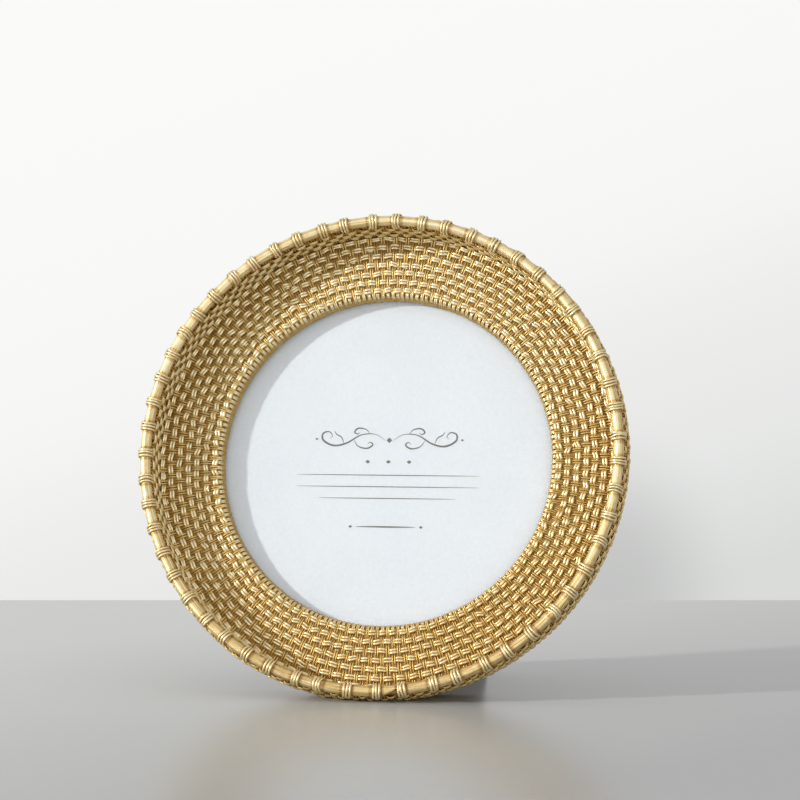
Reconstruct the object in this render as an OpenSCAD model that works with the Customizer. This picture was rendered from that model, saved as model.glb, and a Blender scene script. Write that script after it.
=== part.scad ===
// Round table photo frame. A cast ring with a sunk, flat woven-look face and a
// lashed cane hoop holds a round pane, an insert card, a filler and a back
// board. Four turn buttons keep the board in, and an easel leg props the ring.
//
// The world frame has +Z up and its origin at the centre of the flat foot. Each
// ring piece is drawn in the ring's own frame first: X to the right, Y to the
// back (a depth, counted from the hoop's centre plane), Z up in the ring's plane.

/* [Ring casting] */
// Radius of the hoop's centre line
hoop_r = 90; // [89:0.5:91]
// Diameter of the hoop
hoop_d = 4.2; // [4:0.1:4.6]
// Number of wire lashings round the hoop
lashing_count = 56; // [40:1:64]
// Diameter over a lashing
lashing_d = 6; // [5.4:0.1:6.4]
// Arc that one lashing covers, in degrees
lashing_arc = 2.3; // [1.6:0.1:3]
// Radius of the sight opening at the lip
sight_r = 63; // [62:0.5:64]
// Depth of the flat woven face behind the hoop's centre plane
face_depth = 14; // [12:0.5:14.5]
// Depth of the flat back behind the hoop's centre plane
body_depth = 27.5; // [27.5:0.5:29]
// Number of woven rows on the flat face
face_rows = 7; // [6:1:8]
// Number of woven rows on the steep wall between the hoop and the face
step_rows = 4; // [3:1:5]
// Number of woven rows on the outer wall
wall_rows = 7; // [5:1:8]
// Height of a woven row over the valley beside it
row_relief = 0.6; // [0.3:0.1:0.7]

/* [Stand] */
// Lean of the ring from upright, in degrees
lean = 15; // [13:1:17]
// Height of the hoop's centre over the table
centre_z = 91.2; // [91:0.1:91.6]
// Opening angle between the leg and the board, in degrees
leg_angle = 30; // [27:1:32]
// Height of the hinge pin over the ring's centre, in the ring's plane
hinge_v = 28; // [24:1:32]
// Width of the leg at its top
leg_top_w = 40; // [36:1:46]
// Width of the leg at its foot
leg_foot_w = 62; // [50:1:66]
// Thickness of the leg's board
leg_t = 3; // [2.5:0.1:3.2]

/* [Rabbet and its stack] */
// Radius of the rabbet that the pane and the boards lie in
rabbet_r = 66.5; // [66.3:0.1:67]
// Depth of the rabbet's ledge
ledge_depth = 18.5; // [18:0.5:18.5]
// Diameter of the glass pane
pane_d = 131; // [130:0.5:132]
// Thickness of the glass pane
pane_t = 2; // [1.8:0.1:2]
// Diameter of the insert card
card_d = 130; // [128:0.5:131]
// Thickness of the insert card
card_t = 0.3; // [0.2:0.1:0.4]
// Thickness of the cardboard filler
filler_t = 3; // [2.5:0.1:3]
// Diameter of the filler and of the back board
board_d = 132; // [130:0.5:132]
// Thickness of the back board
board_t = 3; // [2.5:0.1:3]
// Thickness of the velvet skin
flock_t = 0.5; // [0.3:0.1:0.5]

/* [Fittings] */
// Radius at which the turn buttons pivot
button_r = 72; // [71:0.5:73]
// Length of a turn button from its pivot to the centre of its tip
button_l = 10; // [8:0.5:11]
// Thickness of a turn button
button_t = 1; // [0.8:0.1:1.1]
// Width of the hinge
hinge_w = 34; // [30:1:36]
// Diameter of the hinge pin
pin_d = 2; // [1.8:0.1:2]
// Width of the stay ribbon
ribbon_w = 10; // [8:1:14]
// Wire diameter of the hanger ring
ring_wire = 1.6; // [1.4:0.1:1.8]
// Inside width of the hanger ring
ring_in = 11; // [10:0.5:12]

/* [Hidden] */

gold = [0.80, 0.63, 0.34];
steel = [0.72, 0.72, 0.70];
velvet = [0.10, 0.10, 0.11];

centre_y = 6.5;                    // puts the foot's centre at y = 0
hoop_rad = hoop_d / 2;

// Depths of the stack in the rabbet
card_y = ledge_depth + pane_t;
filler_y = card_y + card_t;
board_y = filler_y + filler_t;
flock_y = board_y + board_t;
back_y = flock_y + flock_t;        // outer face of the velvet
stack_gap = body_depth - back_y;   // the buttons bridge this step

// Hinge, counted from the pin's axis
pin_rad = pin_d / 2;
bore_gap = 0.05;
leaf_t = 0.8;
leaf_off = 2;                      // from the axis to a leaf's far face
knuckle_r = 1.8;
knuckle_in = 6;                    // half width of the middle knuckle's place
pin_y = back_y + leaf_off;
leg_off = leaf_off;                // inner face of the leg's velvet
leg_top_s = 3;                     // the leg starts this far below the pin
leg_len = 125;                     // drawn long, then cut off at the table
rivet_x = hinge_w / 2 - 6;

// Stay ribbon, as distances from the pin down the board and down the leg
ribbon_board_s = 70;
ribbon_leg_s = 92;
ribbon_t = 0.5;
tab_half = 4;

// Hanger, in the ring's plane
hang_v = 79.5;
ring_rad = ring_wire / 2;
loop_in = ring_rad + 0.08;
loop_out = loop_in + 0.7;
hang_y = body_depth + loop_out + 0.05;
ring_arc = ring_in / 2 + ring_rad;
ring_leg = 2;

// ---- placing ----

// From the ring's frame to the world frame
module ring_frame() translate([0, centre_y, centre_z]) rotate([-lean, 0, 0]) children();

// A solid of revolution about the ring's axis, from a (radius, depth) outline
module turned() rotate([-90, 0, 0]) rotate_extrude($fn = 180) children();

// A round disc in the ring's frame
module disc(r, y0, t) translate([0, y0, 0]) rotate([-90, 0, 0]) cylinder(r = r, h = t, $fn = 180);

// From (across, depth from the pin, distance up the board) to the ring's frame
module pin_frame() translate([0, pin_y, hinge_v]) children();

// From the leg's own frame, drawn as if folded flat, to the ring's frame
module leg_frame() pin_frame() rotate([leg_angle, 0, 0]) children();

// A round bar along the depth axis
module peg(r, y0, y1, n = 48) translate([0, y0, 0]) rotate([-90, 0, 0]) cylinder(r = r, h = y1 - y0, $fn = n);

// A low domed head on the depth axis that starts at depth y0. flip turns it to the front
module dome_head(r, h, y0, flip = false) {
    big = (r * r + h * h) / (2 * h);
    translate([0, y0, 0]) rotate([flip ? 90 : -90, 0, 0]) intersection() {
        cylinder(r = r, h = h + 1, $fn = 48);
        translate([0, 0, h - big]) sphere(r = big, $fn = 64);
    }
}

// Keeps what lies over the table
module over_table(z0 = 0) intersection() {
    children();
    translate([-150, -100, z0]) cube([300, 300, 300]);
}

// ---- the ring casting ----

// From beside the hoop a steep wall runs back, then a flat face runs in to the lip
step_a = [hoop_r - 1.7, 1.2];
step_b = [hoop_r - 2.1, face_depth];
face_b = [sight_r + 1.7, face_depth];

function bump(t) = sin(180 * t);
function wall_at(y) = hoop_r + 2.45 - 0.0083 * (y - 4) * (y - 4);

step_pts = [for (i = [0 : step_rows * 4 - 1])
    let (t = i / (step_rows * 4))
    step_a + (step_b - step_a) * t + [-row_relief * (bump((i % 4) / 4) - 0.5) * (i == 0 ? 0 : 1), 0]];

face_pts = [for (i = [0 : face_rows * 4])
    let (t = i / (face_rows * 4))
    step_b + (face_b - step_b) * t + [0, -row_relief * (bump((i % 4) / 4) - 0.5)]];

lip_pts = [
    [sight_r + 1.1, face_depth + 0.4],
    [sight_r + 0.6, face_depth + 1.2],
    [sight_r, ledge_depth - 0.7],
    [sight_r, ledge_depth]
];

back_pts = [
    [rabbet_r, ledge_depth],
    [rabbet_r, body_depth],
    [hoop_r - 2.3, body_depth],
    [hoop_r - 1.4, body_depth - 0.7]
];

wall_y0 = 2.2;
wall_y1 = body_depth - 1;
wall_pts = [for (i = [wall_rows * 4 : -1 : 0])
    let (t = i / (wall_rows * 4), y = wall_y0 + (wall_y1 - wall_y0) * t)
    [wall_at(y) + row_relief * (bump((i % 4) / 4) - 0.5) + (i == 0 ? -0.4 : 0), y]];

module ring_outline() {
    polygon(concat(step_pts, face_pts, lip_pts, back_pts, wall_pts, [[hoop_r + 1.4, 1.5]]));
    translate([hoop_r, 0]) circle(r = hoop_rad, $fn = 64);
}

// One lashing: a short thick stretch of the hoop
module lashing(a) rotate([-90, 0, 0]) rotate([0, 0, a - lashing_arc / 2])
    rotate_extrude(angle = lashing_arc, $fn = 180)
        translate([hoop_r, 0]) circle(d = lashing_d, $fn = 48);

module frame_casting() color(gold) over_table() ring_frame() difference() {
    union() {
        turned() ring_outline();
        for (i = [0 : lashing_count - 1]) lashing((i + 0.43) * 360 / lashing_count);
    }
    for (a = [45 : 90 : 315]) rotate([0, a, 0]) translate([0, 0, button_r]) peg(1.52, body_depth - 8.5, body_depth + 1, 32);
    translate([0, 0, hang_v - 7]) peg(1.22, body_depth - 7, body_depth + 1, 32);
}

// ---- the stack in the rabbet ----

module glass_pane() color([0.80, 0.90, 0.92, 0.35]) ring_frame() disc(pane_d / 2, ledge_depth, pane_t);

module photo_card() color([0.93, 0.94, 0.95]) ring_frame() disc(card_d / 2, card_y, card_t);

module filler_board() color([0.66, 0.55, 0.40]) ring_frame() disc(board_d / 2, filler_y, filler_t);

module board_holes() {
    pin_frame() for (s = [-1, 1]) translate([s * rivet_x, 0, 7]) peg(1.22, -12, 4, 32);
    pin_frame() translate([0, 0, -ribbon_board_s]) peg(0.82, -12, 4, 32);
}

module back_board() color([0.45, 0.34, 0.24]) ring_frame() difference() {
    disc(board_d / 2, board_y, board_t);
    board_holes();
}

module back_flock() color(velvet) ring_frame() difference() {
    disc(board_d / 2, flock_y, flock_t);
    board_holes();
}

// ---- turn buttons ----

button_y = body_depth + 0.15;
button_big = 4.5;
button_tip = 3.2;

// The tip points to the ring's axis. a is counted clockwise from the top, seen from the front
module turn_button(a) color(steel) ring_frame() rotate([0, a, 0]) translate([0, button_y, button_r])
    rotate([90, 0, 0]) translate([0, 0, -button_t]) difference() {
        union() {
            cylinder(r = button_big, h = button_t, $fn = 64);
            translate([0, -button_l, 0]) cylinder(r = button_tip, h = button_t, $fn = 64);
            linear_extrude(button_t)
                polygon([[0.2 - button_big, -0.3], [button_big - 0.2, -0.3],
                    [button_tip - 0.15, 0.2 - button_l], [0.15 - button_tip, 0.2 - button_l]]);
        }
        translate([0, 0, -1]) cylinder(r = 1.55, h = button_t + 2, $fn = 48);
    }

module cross_recess(y0, l, w, dep) translate([0, y0 - dep, 0]) {
    translate([-l / 2, 0, -w / 2]) cube([l, dep + 2, w]);
    translate([-w / 2, 0, -l / 2]) cube([w, dep + 2, l]);
}

module turn_button_screws() color(steel) ring_frame() for (a = [45 : 90 : 315])
    rotate([0, a, 0]) translate([0, 0, button_r]) {
        head_y = button_y + button_t + 0.1;
        difference() {
            union() {
                peg(1.5, body_depth - 8, head_y + 0.3, 32);
                dome_head(2.8, 1.5, head_y);
            }
            cross_recess(head_y + 1.5, 2.6, 0.6, 0.8);
        }
    }

// ---- the easel hinge ----

// A bar along the pin's axis
module across(r, x0, x1, n = 48) translate([x0, 0, 0]) rotate([0, 90, 0]) cylinder(r = r, h = x1 - x0, $fn = n);

module hinge_board_leaf() color(steel) ring_frame() pin_frame() difference() {
    union() {
        translate([-hinge_w / 2, -leaf_off, 0]) cube([hinge_w, leaf_t, 13]);
        across(knuckle_r, -hinge_w / 2, -knuckle_in);
        across(knuckle_r, knuckle_in, hinge_w / 2);
    }
    translate([-knuckle_in, -leaf_off - 1, -1]) cube([2 * knuckle_in, 3, 3.4]);
    across(pin_rad + bore_gap, -hinge_w, hinge_w);
    for (s = [-1, 1]) translate([s * rivet_x, 0, 7]) peg(1.22, -leaf_off - 1, 2, 32);
}

module hinge_board_rivets() color(steel) ring_frame() pin_frame() for (s = [-1, 1])
    translate([s * rivet_x, 0, 7]) {
        peg(1.2, -leaf_off - flock_t - board_t, -leaf_off + leaf_t + 0.1, 32);
        dome_head(2.2, 0.9, -leaf_off + leaf_t);
    }

module hinge_pin() color(steel) ring_frame() pin_frame() {
    across(pin_rad, -hinge_w / 2 - 0.4, hinge_w / 2 + 0.4);
    across(pin_rad + 0.35, -hinge_w / 2 - 0.7, -hinge_w / 2 - 0.1);
    across(pin_rad + 0.35, hinge_w / 2 + 0.1, hinge_w / 2 + 0.7);
}

leg_leaf_l = 15;
leg_rivet_s = 10;

module hinge_leg_leaf() color(steel) ring_frame() leg_frame() difference() {
    union() {
        translate([-hinge_w / 2, leg_off - leaf_t, -leg_leaf_l]) cube([hinge_w, leaf_t, leg_leaf_l]);
        across(knuckle_r, 0.2 - knuckle_in, knuckle_in - 0.2);
    }
    translate([-hinge_w / 2 - 1, leg_off - leaf_t - 1, -2.4]) cube([hinge_w / 2 - knuckle_in + 1.2, 3, 4]);
    translate([knuckle_in - 0.2, leg_off - leaf_t - 1, -2.4]) cube([hinge_w / 2 - knuckle_in + 1.2, 3, 4]);
    across(pin_rad + bore_gap, -hinge_w, hinge_w);
    for (s = [-1, 1]) translate([s * rivet_x, 0, -leg_rivet_s]) peg(1.22, leg_off - 2, leg_off + 1, 32);
}

leg_out = leg_off + 2 * flock_t + leg_t;   // outer face of the leg's velvet

module hinge_leg_rivets() color(steel) ring_frame() leg_frame() for (s = [-1, 1])
    translate([s * rivet_x, 0, -leg_rivet_s]) {
        peg(1.2, leg_off - leaf_t - 0.1, leg_out + 0.1, 32);
        dome_head(2.4, 0.9, leg_out);
        dome_head(2, 0.5, leg_off - leaf_t, true);
    }

// ---- the easel leg ----

// Half width of the leg at a distance s below the pin
function leg_half(s) = leg_top_w / 2 + (leg_foot_w - leg_top_w) / 2 * (s - leg_top_s) / 112;

// Points of a quarter turn of radius c about (x, y), from angle a
function corner(x, y, c, a) = [for (i = [0 : 8]) [x + c * cos(a - i * 90 / 8), y + c * sin(a - i * 90 / 8)]];

// The leg's outline, drawn in by g on every side, with rounded top corners
module leg_outline(g) {
    top = -leg_top_s - g;
    c = 7 - g;                     // corner radius
    half = leg_half(leg_top_s + 7) - g;
    polygon(concat([[-leg_half(leg_len) + g, -leg_len]],
        corner(c - half, top - c, c, 180), corner(half - c, top - c, c, 90),
        [[leg_half(leg_len) - g, -leg_len]]));
}

// A plate of the leg's outline between two depths, in the leg's own frame
module leg_plate(g, y0, y1) translate([0, y1, 0]) rotate([90, 0, 0]) linear_extrude(y1 - y0) leg_outline(g);

module leg_holes() {
    for (s = [-1, 1]) translate([s * rivet_x, 0, -leg_rivet_s]) peg(1.22, 0, 9, 32);
    translate([0, 0, -ribbon_leg_s]) peg(0.82, 0, leg_off + flock_t + 2.5, 32);
}

module easel_leg() color([0.45, 0.34, 0.24]) over_table() ring_frame() leg_frame() difference() {
    leg_plate(flock_t, leg_off + flock_t, leg_off + flock_t + leg_t);
    leg_holes();
}

module leg_flock() color(velvet) over_table(0.5) ring_frame() leg_frame() difference() {
    leg_plate(0, leg_off, leg_out);
    leg_plate(flock_t, leg_off + flock_t, leg_off + flock_t + leg_t);
    leg_holes();
}

// ---- the stay ribbon and its tacks ----

// The ribbon's centre line, as [depth from the pin, height over the pin] in the
// ring's plane: a tab on the board, the free span, and a tab on the leg
span_t = leg_off - 0.4;
function on_leg(s, t) = [s * sin(leg_angle) + t * cos(leg_angle), -s * cos(leg_angle) + t * sin(leg_angle)];
ribbon_line = [
    [-leaf_off + 0.3, -ribbon_board_s + tab_half],
    [-leaf_off + 0.3, -ribbon_board_s - tab_half],
    on_leg(ribbon_leg_s - tab_half, span_t),
    on_leg(ribbon_leg_s + tab_half, span_t)
];

function unit(v) = v / norm(v);
function side(v) = [-v[1], v[0]];
// Offset of a line's point i to one side by h, with a mitred corner
function mitre(p, i, h) =
    let (u = unit(p[min(i + 1, len(p) - 1)] - p[min(i, len(p) - 2)]),
        w = unit(p[max(i, 1)] - p[max(i - 1, 0)]),
        m = unit(side(u) + side(w)))
    p[i] + m * h / (m * side(u));

module stay_ribbon() color([0.16, 0.16, 0.17]) ring_frame() difference() {
    pin_frame() rotate([90, 0, 90]) translate([0, 0, -ribbon_w / 2]) linear_extrude(ribbon_w)
        polygon(concat([for (i = [0 : 3]) mitre(ribbon_line, i, ribbon_t / 2)],
            [for (i = [3 : -1 : 0]) mitre(ribbon_line, i, -ribbon_t / 2)]));
    pin_frame() translate([0, 0, -ribbon_board_s]) peg(0.95, -leaf_off - 1, 0, 32);
    leg_frame() translate([0, 0, -ribbon_leg_s]) peg(1.1, 0, leg_off + 1, 32);
}

module ribbon_board_tack() color(steel) ring_frame() pin_frame() translate([0, 0, -ribbon_board_s]) {
    peg(0.8, -leaf_off - flock_t - board_t + 0.5, -leaf_off + 0.7, 32);
    dome_head(2.4, 0.8, -leaf_off + 0.6);
}

module ribbon_leg_tack() color(steel) ring_frame() leg_frame() translate([0, 0, -ribbon_leg_s]) {
    peg(0.8, span_t - ribbon_t / 2 - 0.3, leg_off + flock_t + 2.4, 32);
    dome_head(2.4, 0.8, span_t - ribbon_t / 2 - 0.2, true);
}

// ---- the hanger ----

strap_w = 7;
strap_low = 11.5;

module hanger_strap() color(steel) ring_frame() translate([0, 0, hang_v]) difference() {
    union() {
        translate([-strap_w / 2, body_depth, -strap_low]) cube([strap_w, 0.8, strap_low]);
        translate([0, hang_y, 0]) across(loop_out, -strap_w / 2, strap_w / 2);
    }
    translate([0, hang_y, 0]) across(loop_in, -strap_w, strap_w);
    translate([0, 0, -7]) peg(1.24, body_depth - 1, body_depth + 2, 32);
}

module hanger_screw() color(steel) ring_frame() translate([0, 0, hang_v - 7]) difference() {
    union() {
        peg(1.2, body_depth - 6.5, body_depth + 0.9, 32);
        dome_head(2.4, 0.55, body_depth + 0.8);
    }
    cross_recess(body_depth + 1.35, 2, 0.5, 0.4);
}

// Hangs straight down from its bar, whatever the ring's lean
module hanger_ring() color(steel) ring_frame() translate([0, hang_y, hang_v]) rotate([lean, 0, 0]) {
    across(ring_rad, -ring_arc, ring_arc, 32);
    for (s = [-1, 1]) translate([s * ring_arc, 0, 0]) {
        sphere(r = ring_rad, $fn = 32);
        translate([0, 0, -ring_leg]) cylinder(r = ring_rad, h = ring_leg, $fn = 32);
    }
    translate([0, 0, -ring_leg]) rotate([90, 0, 0]) rotate([0, 0, 180])
        rotate_extrude(angle = 180, $fn = 96) translate([ring_arc, 0]) circle(r = ring_rad, $fn = 32);
}

frame_casting();
glass_pane();
photo_card();
filler_board();
back_board();
back_flock();
turn_button(315);  // turn_button_upper_left
turn_button(45);  // turn_button_upper_right
turn_button(225);  // turn_button_lower_left
turn_button(135);  // turn_button_lower_right
turn_button_screws();
hinge_board_leaf();
hinge_board_rivets();
hinge_pin();
hinge_leg_leaf();
hinge_leg_rivets();
easel_leg();
leg_flock();
stay_ribbon();
ribbon_board_tack();
ribbon_leg_tack();
hanger_strap();
hanger_screw();
hanger_ring();
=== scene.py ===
import math

import bpy
import numpy as np
from mathutils import Matrix, Vector

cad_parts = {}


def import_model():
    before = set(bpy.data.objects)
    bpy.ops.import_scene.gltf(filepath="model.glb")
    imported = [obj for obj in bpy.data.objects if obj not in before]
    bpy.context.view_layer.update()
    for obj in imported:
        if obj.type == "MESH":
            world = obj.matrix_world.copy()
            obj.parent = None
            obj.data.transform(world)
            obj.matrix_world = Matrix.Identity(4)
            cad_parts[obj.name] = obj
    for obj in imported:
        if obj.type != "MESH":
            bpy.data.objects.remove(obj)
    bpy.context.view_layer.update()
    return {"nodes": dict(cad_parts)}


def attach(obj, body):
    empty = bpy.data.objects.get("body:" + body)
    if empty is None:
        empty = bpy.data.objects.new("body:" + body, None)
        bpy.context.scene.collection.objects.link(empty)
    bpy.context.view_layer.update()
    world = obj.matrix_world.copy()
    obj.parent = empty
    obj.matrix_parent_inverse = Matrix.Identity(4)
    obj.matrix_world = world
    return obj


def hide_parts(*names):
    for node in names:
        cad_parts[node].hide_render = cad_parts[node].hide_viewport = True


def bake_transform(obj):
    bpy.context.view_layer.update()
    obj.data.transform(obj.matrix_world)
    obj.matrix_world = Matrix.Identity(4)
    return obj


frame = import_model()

NODES = frame["nodes"]
RNG = np.random.RandomState(20261)

# ---------------------------------------------------------------- frame
# Local coordinates in mm: x across, d into the frame, v up in the ring's plane.
LEAN = math.radians(15.0)
CL, SL = math.cos(LEAN), math.sin(LEAN)
CENTRE_Y, CENTRE_Z = 6.5, 91.2
FOOT_SOFT = 0.45


def world(p, foot=True):
    """Local mm to world metres. Near the table the shape is pressed flat, as the cast foot is."""
    p = np.asarray(p, float)
    out = np.empty_like(p)
    out[..., 0] = p[..., 0]
    out[..., 1] = CENTRE_Y + p[..., 1] * CL + p[..., 2] * SL
    z = CENTRE_Z - p[..., 1] * SL + p[..., 2] * CL
    if foot:
        z = np.where(z < FOOT_SOFT, FOOT_SOFT * np.exp(np.minimum(z - FOOT_SOFT, 0) / FOOT_SOFT), z)
    out[..., 2] = z
    return out * 0.001


def polar(radius, theta, depth):
    """Radius and depth in mm, theta in radians clockwise from the top as seen from the front."""
    return np.stack([radius * np.sin(theta), depth + 0 * theta, radius * np.cos(theta)], -1)


# ---------------------------------------------------------------- mesh making
def make_object(name, verts, quads=None, tris=None, attrs=None, smooth=True, uv=None):
    me = bpy.data.meshes.new(name)
    verts = np.ascontiguousarray(verts, np.float32)
    quads = np.zeros((0, 4), np.int32) if quads is None else np.asarray(quads, np.int32)
    tris = np.zeros((0, 3), np.int32) if tris is None else np.asarray(tris, np.int32)
    loops = np.concatenate([quads.ravel(), tris.ravel()])
    starts = np.concatenate([np.arange(len(quads)) * 4, len(quads) * 4 + np.arange(len(tris)) * 3])
    me.vertices.add(len(verts))
    me.vertices.foreach_set("co", verts.ravel())
    me.loops.add(len(loops))
    me.loops.foreach_set("vertex_index", loops.astype(np.int32))
    me.polygons.add(len(starts))
    me.polygons.foreach_set("loop_start", starts.astype(np.int32))
    me.polygons.foreach_set("use_smooth", np.full(len(starts), bool(smooth)))
    for key, values in (attrs or {}).items():
        me.attributes.new(key, "FLOAT", "POINT").data.foreach_set("value", np.asarray(values, np.float32).ravel())
    me.update(calc_edges=True)
    me.validate()
    obj = bpy.data.objects.new(name, me)
    bpy.context.scene.collection.objects.link(obj)
    return obj


def fix_normals(obj):
    import bmesh

    bm = bmesh.new()
    bm.from_mesh(obj.data)
    bmesh.ops.recalc_face_normals(bm, faces=bm.faces)
    bm.to_mesh(obj.data)
    bm.free()
    return obj


def tube_set(centre, side, up, radius, angles, closed, foot=True, squash=1.0):
    """Closed tubes. centre, side and up are (m, n, 3), radius (m, n) in mm; angles (k,) go round from side to up.
    Returns verts, quads, tris and the share of up in each vertex."""
    m, n = centre.shape[:2]
    k = len(angles)
    ca, sa = np.cos(angles), np.sin(angles)
    ring = (
        centre[:, :, None, :]
        + radius[:, :, None, None]
        * (ca[None, None, :, None] * side[:, :, None, :] + squash * sa[None, None, :, None] * up[:, :, None, :])
    )
    verts = ring.reshape(-1, 3)
    lift = np.broadcast_to(radius[:, :, None] * sa[None, None, :], (m, n, k)).reshape(-1)
    a = np.arange(m)[:, None, None] * n * k
    rows = n if closed else n - 1
    i = np.arange(rows)[None, :, None]
    j = np.arange(k)[None, None, :]
    i2 = (i + 1) % n
    j2 = (j + 1) % k
    quads = np.stack([a + i * k + j, a + i * k + j2, a + i2 * k + j2, a + i2 * k + j], -1).reshape(-1, 4)
    t = centre[0, 1] - centre[0, 0]
    flip = np.dot(np.cross(side[0, 0], up[0, 0]), t) < 0
    tris = np.zeros((0, 3), int)
    if not closed:
        base = len(verts)
        tips = np.concatenate([centre[:, 0], centre[:, -1]])
        verts = np.concatenate([verts, tips])
        lift = np.concatenate([lift, np.zeros(2 * m)])
        mm = np.arange(m)[:, None]
        jj = np.arange(k)[None, :]
        jn = (jj + 1) % k
        first = np.stack([base + mm + 0 * jj, mm * n * k + jn, mm * n * k + jj], -1).reshape(-1, 3)
        end = mm * n * k + (n - 1) * k
        last = np.stack([base + m + mm + 0 * jj, end + jj, end + jn], -1).reshape(-1, 3)
        tris = np.concatenate([first, last])
    if flip:
        quads = quads[:, ::-1]
        tris = tris[:, ::-1]
    return world(verts, foot), quads, tris, lift


def smooth_noise(x, period, count, rows, amount):
    """Seeded sums of sines: (rows, len(x)) values of about +-amount, periodic over period."""
    out = np.zeros((rows, len(x)))
    for c in range(1, count + 1):
        amp = RNG.normal(size=(rows, 1)) / c**0.6
        ph = RNG.uniform(0, 2 * math.pi, size=(rows, 1))
        out += amp * np.sin(2 * math.pi * c * x[None, :] / period + ph)
    return amount * out / max(1e-9, np.sqrt(sum(0.5 / c**1.2 for c in range(1, count + 1))))


# ---------------------------------------------------------------- materials
def new_material(name):
    mat = bpy.data.materials.new(name)
    mat.use_nodes = True
    nt = mat.node_tree
    nt.nodes.clear()
    out = nt.nodes.new("ShaderNodeOutputMaterial")
    bsdf = nt.nodes.new("ShaderNodeBsdfPrincipled")
    nt.links.new(bsdf.outputs[0], out.inputs[0])
    return mat, nt, bsdf, out


def node(nt, kind, **sets):
    n = nt.nodes.new(kind)
    for key, value in sets.items():
        setattr(n, key, value)
    return n


def ramp(nt, stops, interpolation="LINEAR"):
    n = nt.nodes.new("ShaderNodeValToRGB")
    cr = n.color_ramp
    cr.interpolation = interpolation
    while len(cr.elements) > 1:
        cr.elements.remove(cr.elements[-1])
    cr.elements[0].position = stops[0][0]
    cr.elements[0].color = stops[0][1]
    for pos, col in stops[1:]:
        e = cr.elements.new(pos)
        e.color = col
    return n


def rgb(r, g, b):
    """sRGB 0-255 to linear with alpha."""

    def f(c):
        c /= 255.0
        return c / 12.92 if c <= 0.04045 else ((c + 0.055) / 1.055) ** 2.4

    return (f(r), f(g), f(b), 1.0)


def noise(nt, coord, scale, detail=3.0, rough=0.5, distortion=0.0):
    n = node(nt, "ShaderNodeTexNoise")
    n.inputs["Scale"].default_value = scale
    n.inputs["Detail"].default_value = detail
    n.inputs["Roughness"].default_value = rough
    n.inputs["Distortion"].default_value = distortion
    nt.links.new(coord, n.inputs["Vector"])
    return n


def mix_colour(nt, blend, fac, a, b):
    n = node(nt, "ShaderNodeMix", data_type="RGBA", blend_type=blend)
    for sock, value in ((0, fac), (6, a), (7, b)):
        if isinstance(value, (int, float)):
            n.inputs[sock].default_value = value
        elif isinstance(value, tuple):
            n.inputs[sock].default_value = value
        else:
            nt.links.new(value, n.inputs[sock])
    return n.outputs[2]


def math_node(nt, op, a, b=None, clamp=False):
    n = node(nt, "ShaderNodeMath", operation=op, use_clamp=clamp)
    for i, value in enumerate((a, b)):
        if value is None:
            continue
        if isinstance(value, (int, float)):
            n.inputs[i].default_value = value
        else:
            nt.links.new(value, n.inputs[i])
    return n.outputs[0]


def map_range(nt, value, lo, hi, to_lo, to_hi):
    n = node(nt, "ShaderNodeMapRange")
    n.clamp = True
    nt.links.new(value, n.inputs[0])
    for i, v in enumerate((lo, hi, to_lo, to_hi)):
        n.inputs[1 + i].default_value = v
    return n.outputs[0]


def node_smooth(nt, value):
    """1 at 0, falling smoothly to 0 at 1.5."""
    n = node(nt, "ShaderNodeMapRange", interpolation_type="SMOOTHERSTEP")
    n.clamp = True
    nt.links.new(value, n.inputs[0])
    for i, v in enumerate((0.0, 1.5, 1.0, 0.0)):
        n.inputs[1 + i].default_value = v
    return n.outputs[0]


def object_coords(nt, scale=(1.0, 1.0, 1.0)):
    tc = node(nt, "ShaderNodeTexCoord")
    mp = node(nt, "ShaderNodeMapping")
    mp.inputs["Scale"].default_value = scale
    nt.links.new(tc.outputs["Object"], mp.inputs["Vector"])
    return mp.outputs[0]


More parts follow.
